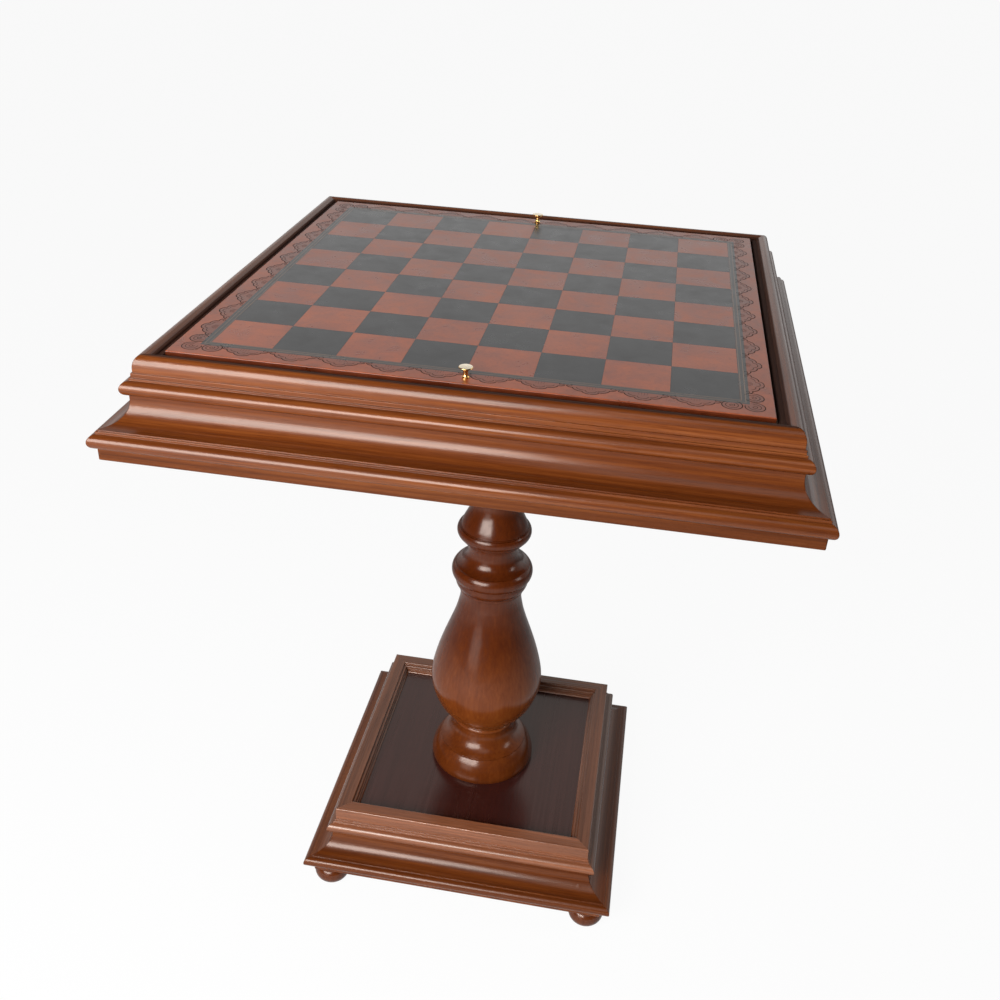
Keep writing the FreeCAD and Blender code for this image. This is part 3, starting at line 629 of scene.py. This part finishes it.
def petal(ornament, ground, centre, opening, side):
    """One corner petal: two arcs and a curl, open towards the middle of the board, on a round ground."""
    start = opening + PETAL_START
    for radius, width in ((PETAL_RADIUS, OUTLINE_WIDTH), (PETAL_RADIUS * PETAL_ECHO, ECHO_WIDTH)):
        arc = spiral(centre, radius, radius * PETAL_CLOSING, start, PETAL_SWEEP)
        ornament.add([on_edge(p, side) for p in arc], width)
    curl = spiral(centre, *CURL_RADII, start, CURL_SWEEP)
    ornament.add([on_edge(p, side) for p in curl], ECHO_WIDTH)
    circle = spiral(centre, PETAL_RADIUS, PETAL_RADIUS, 0.0, CIRCLE_SWEEP)
    ground.add([on_edge(p, side) for p in circle])


def square_band(name, inner, outer, rise, material):
    """Flat printed band round the squares."""
    vertices = []
    for half in (edge + inner, edge + outer):
        for height in (-SUNK, rise):
            for x, y in ((-1, -1), (1, -1), (1, 1), (-1, 1)):
                vertices.append(((x * half + BAND_SLIP) * MM, y * half * MM, height * MM))
    faces = []
    for k in range(4):
        m = (k + 1) % 4
        faces.append((4 + k, 12 + k, 12 + m, 4 + m))
        faces.append((8 + k, 8 + m, 12 + m, 12 + k))
        faces.append((k, 4 + k, 4 + m, m))
        faces.append((k, m, 8 + m, 8 + k))
    piece(name, vertices, faces, material)


ornament, ground = Ribbons(), Patches()
for side in range(4):
    for index in range(MOTIFS):
        motif(ornament, ground, (index - (MOTIFS - 1) / 2) * PITCH, side)
    for across, outward, opening in PETALS:
        petal(ornament, ground, (edge + across, outward), opening, side)
piece("tooled_ornament", ornament.vertices, ornament.faces, tooling_dark)
piece("tooled_ground", ground.vertices, ground.faces, tooled_cloth)
for name, values in BANDS.items():
    square_band(name, *values)


# Floor, world, lamps and camera

FLOOR_HALF = 30.0
FLOOR_COLOUR = (0.78, 0.78, 0.78)
WHITE = (1.0, 1.0, 1.0)

# What the camera sees beyond the floor, as white as the floor looks there
BACKDROP = (0.944, 0.944, 0.944)

# How much of the floor's own white camera rays and mirrored rays see, the rest being lit floor
FLOOR_WHITE = 0.94
MIRRORED_WHITE = 0.1

# Brightness of the room by the height of a direction, and by how far it points to the rear, both
# from 0 to 1
ROOM_HEIGHT = [(0.28, 0.99), (0.42, 0.83), (0.62, 0.68), (0.76, 0.68), (0.86, 0.12)]
ROOM_DEPTH = [(0.55, 0.06), (0.80, 0.95)]
ROOM_STRENGTH = 0.45
ROOM_MIRRORED = 0.55

# Azimuth from the front towards the right, elevation, distance, width, height and power
SOFTBOXES = {
    "softbox_left": (-23.0, 21.0, 1.5, 1.05, 0.66, 34.5),
    "softbox_low": (-24.0, -3.0, 1.5, 0.60, 0.44, 1.8),
    "softbox_right": (92.0, 24.0, 2.0, 0.36, 0.60, 4.5),
    "softbox_front": (14.0, 48.0, 2.2, 0.9, 0.9, 3.6),
}
LAMP_TARGET = Vector((0.0, 0.0, 0.42))


def studio_floor():
    """Pale floor that keeps the table's shadow and otherwise shows nearly white."""
    mesh = bpy.data.meshes.new("studio_floor")
    corners = [(x * FLOOR_HALF, y * FLOOR_HALF, 0.0) for x, y in ((-1, -1), (1, -1), (1, 1), (-1, 1))]
    mesh.from_pydata(corners, [], [(0, 1, 2, 3)])
    floor = bpy.data.objects.new("studio_floor", mesh)
    scene.collection.objects.link(floor)
    material = bpy.data.materials.new("studio_floor")
    tree = NodeTree(material)
    diffuse = tree.node("ShaderNodeBsdfDiffuse")
    tree.fill(diffuse.inputs["Color"], FLOOR_COLOUR)
    white = tree.node("ShaderNodeEmission")
    tree.fill(white.inputs["Color"], WHITE)
    rays = tree.node("ShaderNodeLightPath").outputs
    seen = tree.math("MAXIMUM", rays["Is Camera Ray"], rays["Is Transmission Ray"])
    share = tree.math("MULTIPLY_ADD", rays["Is Glossy Ray"], MIRRORED_WHITE,
                      tree.math("MULTIPLY", seen, FLOOR_WHITE))
    surface_shader = tree.mix_shaders(share, diffuse.outputs[0], white.outputs[0])
    tree.link(surface_shader, tree.node("ShaderNodeOutputMaterial").inputs["Surface"])
    mesh.materials.append(material)


def studio_world():
    """Nearly white for the camera, and for all other rays a room that is bright at the rear and dim above."""
    world = bpy.data.worlds.new("studio")
    tree = NodeTree(world)
    direction = tree.node("ShaderNodeTexCoord").outputs["Generated"]
    height = tree.ramp(tree.axis_of(direction, "z"), [(place, (value,) * 3) for place, value in ROOM_HEIGHT])
    depth = tree.ramp(tree.span(tree.axis_of(direction, "y"), -1.0, 1.0, 0.0, 1.0),
                      [(place, (value,) * 3) for place, value in ROOM_DEPTH])
    rays = tree.node("ShaderNodeLightPath").outputs
    room = tree.node("ShaderNodeBackground")
    tree.fill(room.inputs["Color"], tree.mix("MULTIPLY", 1.0, height, depth))
    tree.fill(room.inputs["Strength"],
              tree.math("MULTIPLY_ADD", rays["Is Glossy Ray"], ROOM_MIRRORED, ROOM_STRENGTH))
    white = tree.node("ShaderNodeBackground")
    tree.fill(white.inputs["Color"], BACKDROP)
    surroundings = tree.mix_shaders(rays["Is Camera Ray"], room.outputs[0], white.outputs[0])
    tree.link(surroundings, tree.node("ShaderNodeOutputWorld").inputs["Surface"])
    scene.world = world


def softbox(name, azimuth, elevation, distance, width, height, power):
    """Area light aimed at the table."""
    around = math.radians(azimuth)
    up = math.radians(elevation)
    direction = Vector((math.sin(around) * math.cos(up), -math.cos(around) * math.cos(up), math.sin(up)))
    lamp = bpy.data.lights.new(name, "AREA")
    lamp.shape = "RECTANGLE"
    lamp.size = width
    lamp.size_y = height
    lamp.energy = power
    light = bpy.data.objects.new(name, lamp)
    light.location = LAMP_TARGET + direction * distance
    light.rotation_euler = (-direction).to_track_quat("-Z", "Y").to_euler()
    scene.collection.objects.link(light)


def photo_camera():
    """Camera at the photograph's place and angle."""
    right = Vector((0.98467, 0.16869, 0.04430))
    down = Vector((0.12307, -0.49210, -0.86179))
    forward = Vector((-0.12357, 0.85404, -0.50532))
    place = Vector((123.8, -923.3, 958.35)) * MM
    lens = bpy.data.cameras.new("camera")
    lens.sensor_width = 36.0
    lens.lens = 38.50
    lens.shift_x = 0.01371
    lens.shift_y = 0.00577
    lens.clip_start = 0.05
    lens.clip_end = 100.0
    camera = bpy.data.objects.new("camera", lens)
    turn = Matrix((right, -down, -forward)).transposed().to_4x4()
    camera.matrix_world = Matrix.Translation(place) @ turn
    scene.collection.objects.link(camera)
    scene.camera = camera


studio_floor()
studio_world()
for name, values in SOFTBOXES.items():
    softbox(name, *values)
photo_camera()
